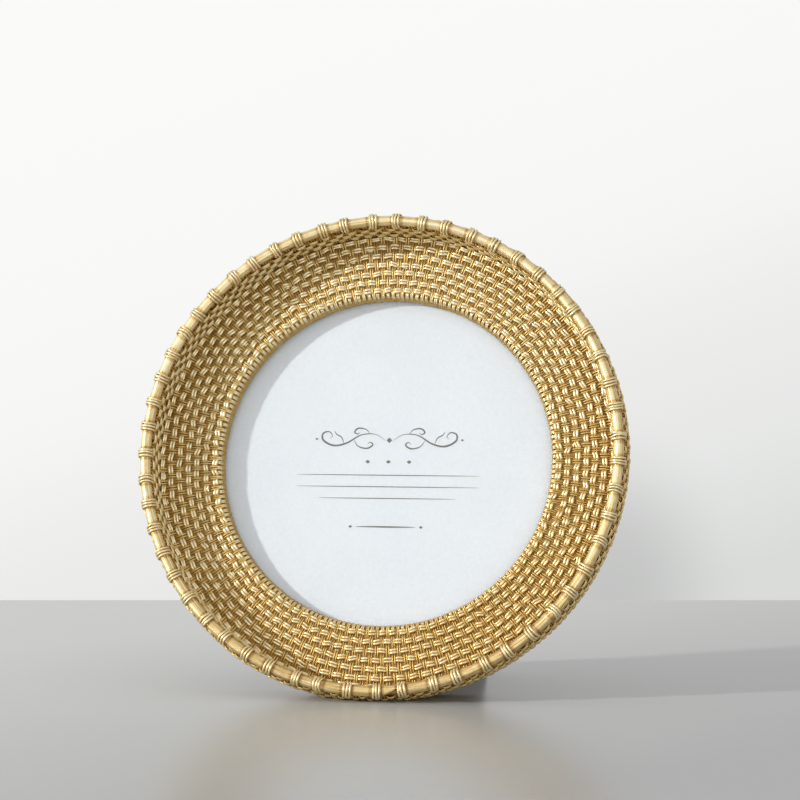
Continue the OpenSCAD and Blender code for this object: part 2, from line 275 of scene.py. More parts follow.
def gold_material(name, relief, rough_lo=0.55, rough_hi=0.41, pale=0.0, metal=0.80):
    """Metallic gold paint over the cast shape, with a brown wash left in the hollows.
    The second argument names the tone attribute: 0 in the hollows to 1 on the crests, with painted shade and painted
    light added to it on some pieces."""
    mat, nt, bsdf, out = new_material(name)
    at = node(nt, "ShaderNodeAttribute", attribute_type="GEOMETRY", attribute_name=relief)
    co = object_coords(nt)
    big = noise(nt, co, 55.0, 3.0, 0.55)
    mid = noise(nt, co, 420.0, 3.0, 0.6)
    fine = noise(nt, co, 2600.0, 2.0, 0.6)
    # the tone attribute here already holds the painted shade and painted light of the pieces that carry it
    wash_and_painted_light = math_node(nt, "ADD", at.outputs["Fac"], math_node(nt, "MULTIPLY", math_node(nt, "SUBTRACT", mid.outputs["Fac"], 0.5), 0.34))
    wash_and_painted_light = math_node(nt, "ADD", wash_and_painted_light, math_node(nt, "MULTIPLY", math_node(nt, "SUBTRACT", big.outputs["Fac"], 0.5), 0.16), clamp=True)
    cr = ramp(
        nt,
        [
            (0.00, rgb(126, 80, 32)),
            (0.22, rgb(174, 134, 66)),
            (0.45, rgb(208, 177, 108)),
            (0.72, rgb(232, 208, 148)),
            (1.00, rgb(252, 240, 200)),
        ],
    )
    nt.links.new(wash_and_painted_light, cr.inputs[0])
    tone = mix_colour(nt, "MULTIPLY", 0.55, cr.outputs[0], ramp_out(nt, fine.outputs["Fac"], [(0.25, rgb(205, 190, 170)), (0.7, rgb(255, 255, 255))]))
    if pale:
        tone = mix_colour(nt, "MIX", pale, tone, rgb(226, 205, 168))
    nt.links.new(tone, bsdf.inputs["Base Color"])
    bsdf.inputs["Metallic"].default_value = metal
    rough = map_range(nt, wash_and_painted_light, 0.1, 0.9, rough_lo, rough_hi)
    rough = math_node(nt, "ADD", rough, math_node(nt, "MULTIPLY", math_node(nt, "SUBTRACT", fine.outputs["Fac"], 0.5), 0.16), clamp=True)
    nt.links.new(rough, bsdf.inputs["Roughness"])
    bsdf.inputs["Coat Weight"].default_value = 0.06
    bsdf.inputs["Coat Roughness"].default_value = 0.25
    height = math_node(nt, "ADD", math_node(nt, "MULTIPLY", mid.outputs["Fac"], 0.7), math_node(nt, "MULTIPLY", fine.outputs["Fac"], 0.3))
    bump = node(nt, "ShaderNodeBump")
    bump.inputs["Strength"].default_value = 0.5
    bump.inputs["Distance"].default_value = 0.0003
    nt.links.new(height, bump.inputs["Height"])
    nt.links.new(bump.outputs[0], bsdf.inputs["Normal"])
    return mat


def ramp_out(nt, value, stops):
    cr = ramp(nt, stops)
    nt.links.new(value, cr.inputs[0])
    return cr.outputs[0]


def put_material(obj, mat):
    if not obj.material_slots:
        obj.data.materials.append(mat)
    for slot_ in obj.material_slots:
        slot_.material = mat


# ---------------------------------------------------------------- woven face and wall
STAKES = 216
PITCH = 2 * math.pi / STAKES
ROW = 3.43


def rounded(points, radii, step=0.05):
    """A polyline in (radius, depth) with its corners rounded, as closely spaced points."""
    pts_ = [np.array(p, float) for p in points]
    out = [pts_[0]]
    for a, b, c, r in zip(pts_, pts_[1:], pts_[2:], radii):
        u = (b - a) / np.linalg.norm(b - a)
        w = (c - b) / np.linalg.norm(c - b)
        turn = math.acos(float(np.clip(u @ w, -1, 1)))
        side_n = np.array([-u[1], u[0]])
        if side_n @ w < 0:
            side_n = -side_n
        centre = b - u * r * math.tan(turn / 2) + side_n * r
        for t in np.linspace(0, turn, max(4, int(r * turn / step))):
            out.append(centre + r * (u * math.sin(t) - side_n * math.cos(t)))
    out.append(pts_[-1])
    dense = []
    for a, b in zip(out, out[1:]):
        n = max(1, int(np.linalg.norm(b - a) / step))
        dense += [a + (b - a) * i / n for i in range(n)]
    return np.array(dense + [out[-1]])


# The face in section: a steep wall from the hoop back, a flat ring, and the lip down to the glass.
FACE_D = 14.0
FACE_LINE = rounded([(88.36, 0.3), (87.95, FACE_D), (64.6, FACE_D), (62.8, 18.35)], [1.6, 1.5])
FACE_S = np.concatenate([[0], np.cumsum(np.linalg.norm(np.diff(FACE_LINE, axis=0), axis=1))])
FACE_T = np.gradient(FACE_LINE, FACE_S, axis=0)
FACE_END = float(FACE_S[-1])


def face_at(radius):
    """Arc length of the point of the flat ring at this radius."""
    flat_ = np.abs(FACE_LINE[:, 1] - FACE_D) < 0.02
    return float(FACE_S[flat_][np.argmin(np.abs(FACE_LINE[flat_, 0] - radius))])


STEP_ROWS = 4  # rows on the steep wall and in its corner, counted from the hoop
ROW0 = face_at(83.5) - (STEP_ROWS + 1) * ROW
LIP_S = face_at(65.66)  # where the lip's rounding starts


def face_path(s):
    """Radius, depth, and the unit tangent (radius, depth) of the woven face at arc length s."""
    s = np.asarray(s, float)
    r, d = (np.interp(s, FACE_S, FACE_LINE[:, c]) for c in (0, 1))
    tr, td = (np.interp(s, FACE_S, FACE_T[:, c]) for c in (0, 1))
    inv = 1 / np.maximum(np.hypot(tr, td), 1e-6)
    return r, d, tr * inv, td * inv


WALL_ROWS = 8
WALL_PITCH = 3.15
WALL_S0 = 1.2
WALL_D0 = 1.6


def wall_radius(d):
    return 92.45 - 0.0083 * (d - 4.0) ** 2 - 0.75 + 0.55 * np.clip((np.asarray(d, float) - 3.0) / 5.0, 0, 1)


def swelling(theta):
    """The casting is not quite round: how far the outer wall stands out, in mm."""
    deg = np.degrees(theta) % 360
    out = 0.5 * np.exp(-(((deg - 86) / 20.0) ** 2)) + 0.45 * np.exp(-(((deg - 214) / 20.0) ** 2))
    return out - 0.35 * np.exp(-(((deg - 152) / 18.0) ** 2))


def wall_path(s):
    """The outer wall: arc length is close to depth."""
    s = np.asarray(s, float)
    d = WALL_D0 + s * 0.985
    r = wall_radius(d)
    # Over the last millimetres it rounds into the back
    tail = np.clip((d - 24.6) / 2.6, 0, 1)
    r = r - 2.6 * tail**2.2
    slope = -0.0166 * (d - 4.0) - 2.6 * 2.2 * np.clip(tail, 0, 1) ** 1.2 / 2.6 * (tail > 0)
    inv = 1 / np.sqrt(1 + slope**2)
    return r, d, slope * inv, inv


def over_wave(phase, bias, sharp):
    """A flat-topped wave of the phase, +1 over and -1 under. bias > 0 makes the over part longer."""
    c = np.cos(phase)
    lo = np.tanh(sharp * (-1 + bias))
    hi = np.tanh(sharp * (1 + bias))
    return (np.tanh(sharp * (c + bias)) - lo) / (hi - lo) * 2 - 1


ANG7 = np.radians([90, 50, 8, -55, -125, 172, 130])


def local_disorder(theta):
    """A little more disorder at two places of the weave, as cast."""
    deg = np.degrees(theta) % 360
    return 1 + 1.6 * np.exp(-(((deg - 330) / 7.0) ** 2)) + 1.6 * np.exp(-(((deg - 104) / 5.0) ** 2))


def per_block(phase, values):
    """Values given at the phases 0, 2 pi, 4 pi ... joined smoothly, and the local phase from the nearest of them."""
    n = len(values)
    x = phase / (2 * math.pi)
    lo = np.floor(x).astype(int)
    f = x - lo
    f = f * f * (3 - 2 * f)
    near = np.round(x)
    return values[lo % n] * (1 - f) + values[(lo + 1) % n] * f, (x - near) * 2 * math.pi, near.astype(int) % n


def build_weft(name, path, sign, rows, pitch, s0, per, amp, r_w, gap, phase0=0, foot=True, rough=1.0, bias=0.30):
    n = int(STAKES / 2 * per)
    blocks = STAKES // 2
    theta = np.arange(n) * 2 * math.pi / n
    centre, side, up, rad, base = [], [], [], [], []
    for w in rows:
        dis = local_disorder(theta)
        phase = theta / PITCH * math.pi + math.pi * (w + phase0) + math.pi
        wob = smooth_noise(theta, 2 * math.pi, 14, 1, 0.09)[0] * dis
        move, _, _ = per_block(phase, RNG.normal(size=blocks) * 0.13 * rough)
        skew = RNG.normal(size=blocks) * 0.14 * rough
        lift_b, _, _ = per_block(phase, RNG.normal(size=blocks) * 0.075 * rough)
        long_b, local, near = per_block(phase, RNG.normal(size=blocks) * 0.16 * rough)
        for q in (-1, 1):
            own, _, _ = per_block(phase, RNG.normal(size=blocks) * 0.035 * rough)
            own_h, _, _ = per_block(phase, RNG.normal(size=blocks) * 0.045 * rough)
            own_r, _, _ = per_block(phase, RNG.normal(size=blocks) * 0.05 * rough)
            lag = RNG.normal(size=blocks) * 0.16 * rough
            lag = lag[near] * np.cos(local / 2) ** 2
            s = s0 + pitch * w + q * gap * (0.93 + 0.07 * np.cos(local)) + (wob + move * dis + skew[near] * np.sin(local)) + own
            h = amp * over_wave(phase + lag, bias + long_b, 2.3)
            h = h + lift_b + own_h
            r, d, tr, td = path(s)
            nr, nd = (-td, tr) if sign < 0 else (td, -tr)
            if sign > 0:
                r = r + swelling(theta) * np.clip((d - 2.0) / 5.0, 0, 1)
            rr = r + nr * h
            dd = d + nd * h
            centre.append(polar(rr, theta, dd))
            side.append(polar(tr, theta, td))
            up.append(polar(nr, theta, nd))
            rad.append(r_w * (1 + own_r))
            base.append(h)
    centre, side, up, rad = map(np.array, (centre, side, up, rad))
    v, qd, tr_, lift = tube_set(centre, side, up, rad, ANG7, True, foot)
    unit = lift / np.repeat(rad.ravel(), len(ANG7))
    return v, qd, tr_, strand_relief(np.repeat(np.array(base).ravel(), len(ANG7)), unit, 1.0)


def build_extra(path, sign, rows, pitch, s0, amp, share, phase0=0, offset=1.36, r_x=0.33):
    """Here and there a third strand lies beside the pair, over one stake."""
    centre, side, up, rad, base = [], [], [], [], []
    m = 11
    blocks = STAKES // 2
    for w in rows:
        for b in range(blocks):
            if RNG.uniform() > share:
                continue
            mid = (2 * math.pi * b - math.pi * (w + phase0) - math.pi) / math.pi * PITCH
            half = PITCH * (0.50 + RNG.uniform(-0.06, 0.08))
            t_ = np.linspace(-1, 1, m)
            theta = mid + half * t_
            side_q = 1 if RNG.uniform() < 0.5 else -1
            s = s0 + pitch * w + side_q * (offset + RNG.normal() * 0.05) + 0.12 * RNG.normal() * t_
            if s.max() > LIP_S:
                continue
            h = (amp - 0.10) - 0.62 * t_**4 + RNG.normal() * 0.03
            r, d, tr, td = path(s)
            nr, nd = (-td, tr) if sign < 0 else (td, -tr)
            centre.append(polar(r + nr * h, theta, d + nd * h))
            side.append(polar(tr, theta, td))
            up.append(polar(nr, theta, nd))
            rad.append(r_x * (1 - 0.45 * t_**6))
            base.append(h)
    centre, side, up, rad = map(np.array, (centre, side, up, rad))
    v, qd, tr_, lift = tube_set(centre, side, up, rad, ANG7, False)
    h = np.repeat(np.array(base).ravel(), len(ANG7))
    rel_ = strand_relief(h, lift[: len(h)] / np.repeat(rad.ravel(), len(ANG7)), 0.95)
    return v, qd, tr_, np.concatenate([rel_, np.full(len(v) - len(h), 0.1)])


def build_stakes(path, sign, ks, s_lo, s_hi, pitch, s0, per, amp, r_s, apart, foot=True, phase0=0, top=0.85, lip_s=None):
    rows = (s_hi - s_lo) / pitch / 2
    n = int(round(rows * per)) + 1
    s = np.linspace(s_lo, s_hi, n)
    centre, side, up, rad, base, tops = [], [], [], [], [], []
    for k in ks:
        th0 = k * PITCH + RNG.normal() * 0.0012
        dis = float(local_disorder(np.array([th0]))[0])
        phase = (s - s0) / pitch * math.pi + math.pi * (k + phase0)
        p0 = 2 * math.pi * math.floor(phase[0] / (2 * math.pi))
        wob = smooth_noise(s, s_hi - s_lo + 9, 5, 1, 0.07)[0] * dis
        move, _, _ = per_block(phase - p0, RNG.normal(size=9) * 0.10)
        hn, _, _ = per_block(phase - p0, RNG.normal(size=9) * 0.05)
        r, d, tr, td = path(s)
        if sign > 0:
            r = r + swelling(np.array([th0]))[0] * np.clip((d - 2.0) / 5.0, 0, 1)
        nr, nd = (-td, tr) if sign < 0 else (td, -tr)
        h = amp * over_wave(phase, 0.0, 1.1) - 0.06 + hn
        wob = wob + move * dis
        k_ = 0.0 * s
        bead = 0.0 * s
        if lip_s is not None:
            k_ = np.clip((s - lip_s) / 1.1, 0, 1)
            k_ = k_ * k_ * (3 - 2 * k_)
            # over the lip: a bead, then a low ridge that dies away towards the glass
            bead = np.exp(-(((s - lip_s - 1.65) / 0.75) ** 2))
            down = np.clip((s - lip_s - 2.3) / 1.3, 0, 1)
            lip_h = 0.04 + 0.34 * bead - 0.27 * down * down * (3 - 2 * down)
            h = h * (1 - k_) + (lip_h + 0.06 * RNG.normal()) * k_
        # the ends dive into the casting
        fade = np.minimum(1, np.minimum((s - s_lo) / 0.9 + 0.15, (s_hi - s) / 0.9 + 0.15))
        h = h - 0.5 * (1 - fade)
        for q in (-1, 1):
            own, _, _ = per_block(phase - p0, RNG.normal(size=9) * 0.03)
            own_r, _, _ = per_block(phase - p0, RNG.normal(size=9) * 0.05)
            off = (q * apart * (1 - 0.22 * k_) * r / 76.0 + wob + own) / r
            th = th0 + off
            rr = r + nr * h
            dd = d + nd * h
            centre.append(polar(rr, th, dd))
            side.append(np.stack([np.cos(th), 0 * th, -np.sin(th)], -1))
            up.append(polar(nr, th, nd))
            rad.append(r_s * (1 + own_r) * (1 + 0.18 * k_) * r / 76.0 * (0.45 + 0.55 * fade))
            base.append(h)
            # the beads on the lip's crest are painted paler: a painted highlight
            tops.append(top + (0.74 + 0.26 * bead - top) * k_)
    centre, side, up, rad = map(np.array, (centre, side, up, rad))
    v, qd, tr_, lift = tube_set(centre, side, up, rad, ANG7, False, foot)
    h = np.repeat(np.array(base).ravel(), len(ANG7))
    rel_ = strand_relief(h, lift[: len(h)] / np.repeat(rad.ravel(), len(ANG7)), np.repeat(np.array(tops).ravel(), len(ANG7)))
    return v, qd, tr_, np.concatenate([rel_, np.full(len(v) - len(h), 0.1)])


def strand_relief(base, unit, top):
    """0 in the hollows to 1 on the crests: base is the strand's height, unit -1..1 goes round the strand."""
    u = np.clip((base + 0.5) / 0.95, 0, 1)
    return np.clip(0.08 + top * (0.25 + 0.75 * u) * (0.40 + 0.60 * unit), 0, 1)


GOLD_WEAVE = gold_material("gold_weave", "relief")
GOLD_CANE = gold_material("gold_cane", "relief", 0.58, 0.46, pale=0.16, metal=0.78)


def gold_piece(name, v, q, t, height, mat=None):
    obj = make_object(name, v, q, t, {"relief": np.clip(height, 0, 1)})
    put_material(obj, mat or GOLD_WEAVE)
    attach(obj, "frame")
    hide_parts("frame_casting")
    return obj


def painted_light_by_side(v, rel):
    """Painted shade and painted light on the weave: the steep wall at the top and the hollows at the upper left, where
    the hoop's shade falls, are painted darker.
    The crests are painted paler at the left and the top than at the lower right, by how the light falls."""
    y, z = v[:, 1] * 1000 - CENTRE_Y, v[:, 2] * 1000 - CENTRE_Z
    x, up_ = v[:, 0] * 1000, y * SL + z * CL
    rr_ = np.hypot(x, up_)
    th_ = np.degrees(np.arctan2(x, up_))
    steep = np.clip((rr_ - 86.4) / 0.9, 0, 1)
    near_top = np.exp(-((th_ / 40.0) ** 2))
    upper_left = np.exp(-(((th_ + 55) / 50.0) ** 2)) * np.clip((rr_ - 66.0) / 14.0, 0, 1)
    # painted shade: the hollows at the upper left, in the hoop's shade, are painted darker
    rel = np.clip(rel, 0, 1) ** (1 + 0.35 * upper_left)
    # painted light: the weave is painted paler to the upper left and darker to the lower right
    rel = rel * (1.06 + 0.22 * np.cos(np.radians(th_ + 32)))
    # painted shade on the steep wall at the top, under the hoop
    return rel * (1 - 0.30 * steep * near_top)


# painted shade and painted light by side go onto the face's weave here
for part, rows in (("step", range(1, 4)), ("outer", range(4, 8)), ("inner", range(8, 11))):
    v, q, t, h = build_weft("w", face_path, -1, rows, ROW, ROW0, 8, 0.45, 0.60, 0.56, bias=0.42)
    gold_piece("face_weavers_" + part, v, q, t, painted_light_by_side(v, h))
for part, ks in (("right", range(0, 108)), ("left", range(108, 216))):
    v, q, t, h = build_stakes(face_path, -1, ks, 0.2, LIP_S + 4.9, ROW, ROW0, 8.8, 0.29, 0.37, 0.43, top=0.56, lip_s=LIP_S - 0.3)
    gold_piece("face_stakes_" + part, v, q, t, painted_light_by_side(v, h))

v, q, t, h = build_extra(face_path, -1, range(4, 10), ROW, ROW0, 0.44, 0.10)
gold_piece("face_strands", v, q, t, painted_light_by_side(v, h))

# the outer wall's weave is painted darker than the face's: painted shade on the wall, over its brown wash
v, q, t, h = build_weft("w", wall_path, 1, range(0, 8), WALL_PITCH, WALL_S0, 7, 0.52, 0.50, 0.54, phase0=0, bias=0.05)
gold_piece("wall_weavers", v, q, t, 0.86 * h)
v, q, t, h = build_stakes(wall_path, 1, range(0, 216), 0.2, 25.4, WALL_PITCH, WALL_S0, 7, 0.36, 0.35, 0.41, top=0.55)
gold_piece("wall_stakes", v, q, t, 0.70 * h)


# ---------------------------------------------------------------- body of the casting
def revolve(profile, n, closed=True, foot=True, attr=None):
    """profile: (m, 2) of radius and depth in mm, in order; closed joins the last point to the first."""
    prof = np.asarray(profile, float)
    m = len(prof)
    theta = np.arange(n) * 2 * math.pi / n
    pts = polar(prof[:, 0][None, :], theta[:, None], prof[:, 1][None, :])
    verts = pts.reshape(-1, 3)
    i = np.arange(n)[:, None]
    rows = m if closed else m - 1
    j = np.arange(rows)[None, :]
    i2, j2 = (i + 1) % n, (j + 1) % m
    quads = np.stack([i * m + j, i2 * m + j, i2 * m + j2, i * m + j2], -1).reshape(-1, 4)
    # outward check on the outermost point
    k = int(np.argmax(prof[:, 0]))
    e = prof[(k + 1) % m] - prof[k - 1]
    if e[1] < 0:
        quads = quads[:, ::-1]
    return world(verts, foot), quads


def smooth_profile(points, step=0.6):
    out = []
    for a, b in zip(points, points[1:]):
        a, b = np.array(a, float), np.array(b, float)
        n = max(1, int(np.linalg.norm(b - a) / step))
        for i in range(n):
            out.append(a + (b - a) * i / n)
    out.append(np.array(points[-1], float))
    return out


body_prof = []
for s in np.concatenate([np.linspace(0.0, LIP_S, 44), np.linspace(LIP_S + 0.2, FACE_END, 22)]):
    r, d, tr, td = face_path(s)
    off = -0.16 - 0.06 * float(np.clip((s - LIP_S) / 2.5, 0, 1))
    body_prof.append([r - td * off, d + tr * off])
body_prof += [[63.2, 18.44], [63.5, 18.48]]
body_prof += [[66.2, 18.5], [66.5, 18.55]]
body_prof += [[66.5, d] for d in (19.5, 21.5, 23.5, 25.5, 26.9)]
body_prof += [[66.58, 27.2], [66.85, 27.42], [67.3, 27.5]]
body_prof += [[r, 27.5] for r in (70, 74, 78, 82, 85.5)]
body_prof += [[87.0, 27.42], [87.9, 27.1], [88.4, 26.6]]
for d in np.linspace(25.6, 1.8, 25):
    r = wall_path((d - WALL_D0) / 0.985)[0]
    body_prof.append([r - 0.28, d])
body_prof += [[91.4, 1.2], [90.6, 0.4], [89.6, 0.2]]
bp = np.array(body_prof)
NB = 864
th = np.arange(NB) * 2 * math.pi / NB
grid_r = np.repeat(bp[:, 0][None, :], NB, 0)
grid_d = np.repeat(bp[:, 1][None, :], NB, 0)
on_wall = (grid_r > 88.0) & (grid_d > 1.5)
grid_r = grid_r + np.where(on_wall, swelling(th)[:, None] * np.clip((grid_d - 2.0) / 5.0, 0, 1), 0)
# small notches where the stakes run into the smooth inside of the lip
lip_zone = (bp[:, 1] > 15.3) & (bp[:, 1] < 18.45) & (bp[:, 0] < 64.8)
notch = 0.09 * np.cos(th * STAKES)[:, None] * np.where(lip_zone, 1.0, 0)[None, :]
notch = notch + smooth_noise(th, 2 * math.pi, 40, 1, 0.05)[0][:, None] * np.where(lip_zone, 1.0, 0)[None, :]
grid_r = grid_r + notch
pts = polar(grid_r, th[:, None], grid_d)
m_ = len(bp)
i = np.arange(NB)[:, None]
j = np.arange(m_)[None, :]
i2, j2 = (i + 1) % NB, (j + 1) % m_
q = np.stack([i * m_ + j, i2 * m_ + j, i2 * m_ + j2, i * m_ + j2], -1).reshape(-1, 4)
v = world(pts.reshape(-1, 3))
rel = np.full(m_, 0.20)
rel[(bp[:, 1] > 27.0) | ((bp[:, 0] < 67) & (bp[:, 1] > 18.45))] = 0.62
rel[lip_zone] = 0.40
# the casting under the outer wall's weave is painted darkest brown: brown wash and painted shade between the wall's
# strands
rel[(bp[:, 0] > 88.0) & (bp[:, 1] > 1.0) & (bp[:, 1] < 26.4)] = 0.03
body = make_object("casting_body", v, q, None, {"relief": np.tile(rel, NB)})
fix_normals(body)
put_material(body, GOLD_WEAVE)
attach(body, "frame")
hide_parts("frame_casting")

# ---------------------------------------------------------------- rim hoop and lashings
HOOP_R = 90.0
LASH = 56
lash_theta = np.radians(2.8 + 360.0 / LASH * np.arange(LASH) + RNG.uniform(-0.45, 0.45, LASH))
# the lashings are not quite evenly laid round the rim
lash_theta = lash_theta + np.radians(0.65 - 1.55 * np.cos(lash_theta) - 1.85 * np.sin(lash_theta) - 0.2 * np.cos(2 * lash_theta))

base_t = np.arange(784) * 360.0 / 784
extra = np.arange(169.9, 178.9, 0.11)
tt = np.unique(np.round(np.concatenate([base_t[(base_t < 169.8) | (base_t > 179.0)], extra]), 4))
theta = np.radians(tt)
K = 40
ang = np.arange(K) * 2 * math.pi / K
gap = np.abs((theta[:, None] - lash_theta[None, :] + math.pi) % (2 * math.pi) - math.pi).min(1)
cane = 2.02 + 0.05 * np.cos(np.clip(gap / math.radians(3.2), 0, 1) * math.pi) + 0.02 * smooth_noise(theta, 2 * math.pi, 40, 1, 1.0)[0]
rad = np.broadcast_to(cane[:, None], (len(theta), K)).copy()
# a few flats along the cane
rad *= 1 + 0.010 * np.sin(7 * ang[None, :] + 3 * np.sin(5 * theta)[:, None]) + 0.006 * np.sin(4 * ang[None, :] + 2.0)
# the slanted joint of the cane's two ends: a long bevel, brown and hollow under its edge
angw = (ang[None, :] + math.pi) % (2 * math.pi) - math.pi
edge_a = 0.25 + (176.3 - tt[:, None]) / 2.3
along = np.clip((tt[:, None] - 172.7) / 0.35, 0, 1) * np.clip((176.6 - tt[:, None]) / 0.4, 0, 1)
hollow = along / (1 + np.exp(-(edge_a - angw) / 0.07)) * np.clip((angw + 1.3) / 0.8, 0, 1)
hole = np.exp(-(((tt[:, None] - 172.95) / 0.30) ** 2) - ((angw - 1.30) / 0.24) ** 2)
rad = rad - 0.46 * hollow - 0.45 * hole
rad = rad + 0.10 * along * np.exp(-(((angw - edge_a - 0.45) / 0.4) ** 2))
side = np.stack([np.sin(theta), 0 * theta, np.cos(theta)], -1)  # radially out
up = np.tile(np.array([0.0, -1.0, 0.0]), (len(theta), 1))  # to the front
pts = (
    HOOP_R * side[:, None, :]
    + rad[:, :, None] * (np.cos(ang)[None, :, None] * side[:, None, :] + np.sin(ang)[None, :, None] * up[:, None, :])
)
n = len(theta)
i = np.arange(n)[:, None]
j = np.arange(K)[None, :]
quads = np.stack([i * K + j, i * K + (j + 1) % K, ((i + 1) % n) * K + (j + 1) % K, ((i + 1) % n) * K + j], -1).reshape(-1, 4)
tan = np.array([np.cos(theta[0]), 0, -np.sin(theta[0])])
if np.dot(np.cross(side[0], up[0]), tan) < 0:
    quads = quads[:, ::-1]
wash_and_painted_light = 0.88 - 0.62 * np.exp(-(((gap - math.radians(1.28)) / math.radians(0.30)) ** 2))
wash_and_painted_light = np.broadcast_to(wash_and_painted_light[:, None], (n, K)) - 0.66 * hollow - 0.9 * hole
# streaks along the cane
wash_and_painted_light = wash_and_painted_light + smooth_noise(theta, 2 * math.pi, 90, K, 0.20).T
# painted shade low on the rim: the cane's lower part is painted darker
wash_and_painted_light = wash_and_painted_light - 0.42 * np.clip(-0.35 - np.cos(theta), 0, 1)[:, None]
# painted shade down the right side too: the cane is painted a little darker there
wash_and_painted_light = wash_and_painted_light - 0.13 * np.clip(np.cos(theta - math.radians(112)), 0, 1)[:, None]
# the side that meets the weave is painted darker: brown wash and painted shade in the crease
wash_and_painted_light = wash_and_painted_light - 0.5 * np.clip(-np.sin(ang)[None, :] * 0.6 - np.cos(ang)[None, :] * 0.75, 0, 1)
hoop = make_object("rim_hoop", world(pts.reshape(-1, 3)), quads, None, {"relief": np.clip(wash_and_painted_light, 0, 1).reshape(-1)})
put_material(hoop, GOLD_CANE)
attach(hoop, "frame")
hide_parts("frame_casting")

M = 30
phi = np.arange(M) * 2 * math.pi / M
centre, sd, upv, rr = [], [], [], []
for t0 in lash_theta:
    slant = RNG.normal() * 0.0035
    spread = math.radians(0.70 + RNG.uniform(-0.03, 0.04))
    for w in (-1, 0, 1):
        wob = smooth_noise(phi, 2 * math.pi, 3, 1, 0.0011)[0]
        th = t0 + w * spread + slant * np.sin(phi) + wob
        ring = 2.42 + RNG.uniform(-0.04, 0.05) + (0.07 if w == 0 else 0)
        out = np.stack([np.sin(th), 0 * th, np.cos(th)], -1)
        rad_dir = np.cos(phi)[:, None] * out + np.sin(phi)[:, None] * np.array([0.0, -1.0, 0.0])
        centre.append(HOOP_R * out + ring * rad_dir)
        sd.append(np.stack([np.cos(th), 0 * th, -np.sin(th)], -1))
        upv.append(rad_dir)
        rr.append(np.full(M, 0.52 + RNG.uniform(-0.03, 0.03)))
centre, sd, upv, rr = map(np.array, (centre, sd, upv, rr))
v, q, t, lift = tube_set(centre, sd, upv, rr, np.arange(8) * 2 * math.pi / 8 + math.pi / 2, True)
lash_obj = gold_piece("rim_lashings", v, q, t, 0.46 + 0.46 * lift / 0.52)


# ---------------------------------------------------------------- flat solids
def loft(rings, cap_start=True, cap_end=True):
    """rings: (n, k, 3) world metres, each ring the same closed loop. Caps are strips across the loop."""
    rings = np.asarray(rings, float)
    n, k = rings.shape[:2]
    verts = rings.reshape(-1, 3)
    i = np.arange(n - 1)[:, None]
    j = np.arange(k)[None, :]
    j2 = (j + 1) % k
    quads = [np.stack([i * k + j, i * k + j2, (i + 1) * k + j2, (i + 1) * k + j], -1).reshape(-1, 4)]

    def cap(base, flip):
        half = k // 2
        out = []
        for a in range(half - 1):
            f = [base + a, base + a + 1, base + k - 2 - a, base + k - 1 - a]
            out.append(f if not flip else f[::-1])
        return np.array([f for f in out if len(set(f)) == 4]), np.array([f for f in out if len(set(f)) != 4])

    if cap_start:
        quads.append(cap(0, True)[0])
    if cap_end:
        quads.append(cap((n - 1) * k, False)[0])
    return verts, np.concatenate(quads)


def disc_piece(name, radius, d0, d1, edge, rings, n=180, jitter=0.0):
    """A round board with rounded edges, as a lathe of rings from the middle of the front to the middle of the back."""
    prof = []
    for f in np.linspace(0, 1, rings)[1:]:
        prof.append([(radius - edge) * f, d0])
    for a in (30, 60, 90):
        t_ = math.radians(a)
        prof.append([radius - edge + edge * math.sin(t_), d0 + edge - edge * math.cos(t_)])
    for a in (0, 30, 60, 90):
        t_ = math.radians(a)
        prof.append([radius - edge + edge * math.cos(t_), d1 - edge + edge * math.sin(t_)])
    for f in np.linspace(1, 0, rings)[1:-1]:
        prof.append([(radius - edge) * f, d1])
    prof = np.array(prof)
    m = len(prof)
    th = np.arange(n) * 2 * math.pi / n
    pts = polar(prof[:, 0][None, :], th[:, None], prof[:, 1][None, :] + 0 * th[:, None])
    if jitter:
        pts[..., 1] += RNG.normal(size=pts.shape[:2]) * jitter
    verts = np.concatenate([pts.reshape(-1, 3), [[0, d0, 0], [0, d1, 0]]])
    i = np.arange(n)[:, None]
    i2 = (i + 1) % n
    j = np.arange(m - 1)[None, :]
    quads = np.stack([i * m + j, i2 * m + j, i2 * m + j + 1, i * m + j + 1], -1).reshape(-1, 4)
    i, i2 = i[:, 0], i2[:, 0]
    tris = np.concatenate(
        [
            np.stack([np.full(n, n * m), i2 * m, i * m], -1),
            np.stack([np.full(n, n * m + 1), i * m + m - 1, i2 * m + m - 1], -1),
        ]
    )
    return fix_normals(make_object(name, world(verts, False), quads, tris))


# ---------------------------------------------------------------- card and its print
def paper_material():
    mat, nt, bsdf, out = new_material("card_paper")
    co = object_coords(nt)
    fibre = noise(nt, co, 900.0, 5.0, 0.65)
    cloud = noise(nt, co, 30.0, 2.0, 0.5)
    col = ramp_out(nt, fibre.outputs["Fac"], [(0.3, rgb(216, 218, 225)), (0.7, rgb(225, 227, 232))])
    col = mix_colour(nt, "MULTIPLY", 0.5, col, ramp_out(nt, cloud.outputs["Fac"], [(0.3, rgb(246, 247, 250)), (0.7, rgb(255, 255, 255))]))
    nt.links.new(col, bsdf.inputs["Base Color"])
    bsdf.inputs["Roughness"].default_value = 0.62
    bsdf.inputs["Specular IOR Level"].default_value = 0.35
    bump = node(nt, "ShaderNodeBump")
    bump.inputs["Strength"].default_value = 0.08
    bump.inputs["Distance"].default_value = 0.0001
    nt.links.new(fibre.outputs["Fac"], bump.inputs["Height"])
    nt.links.new(bump.outputs[0], bsdf.inputs["Normal"])
    return mat


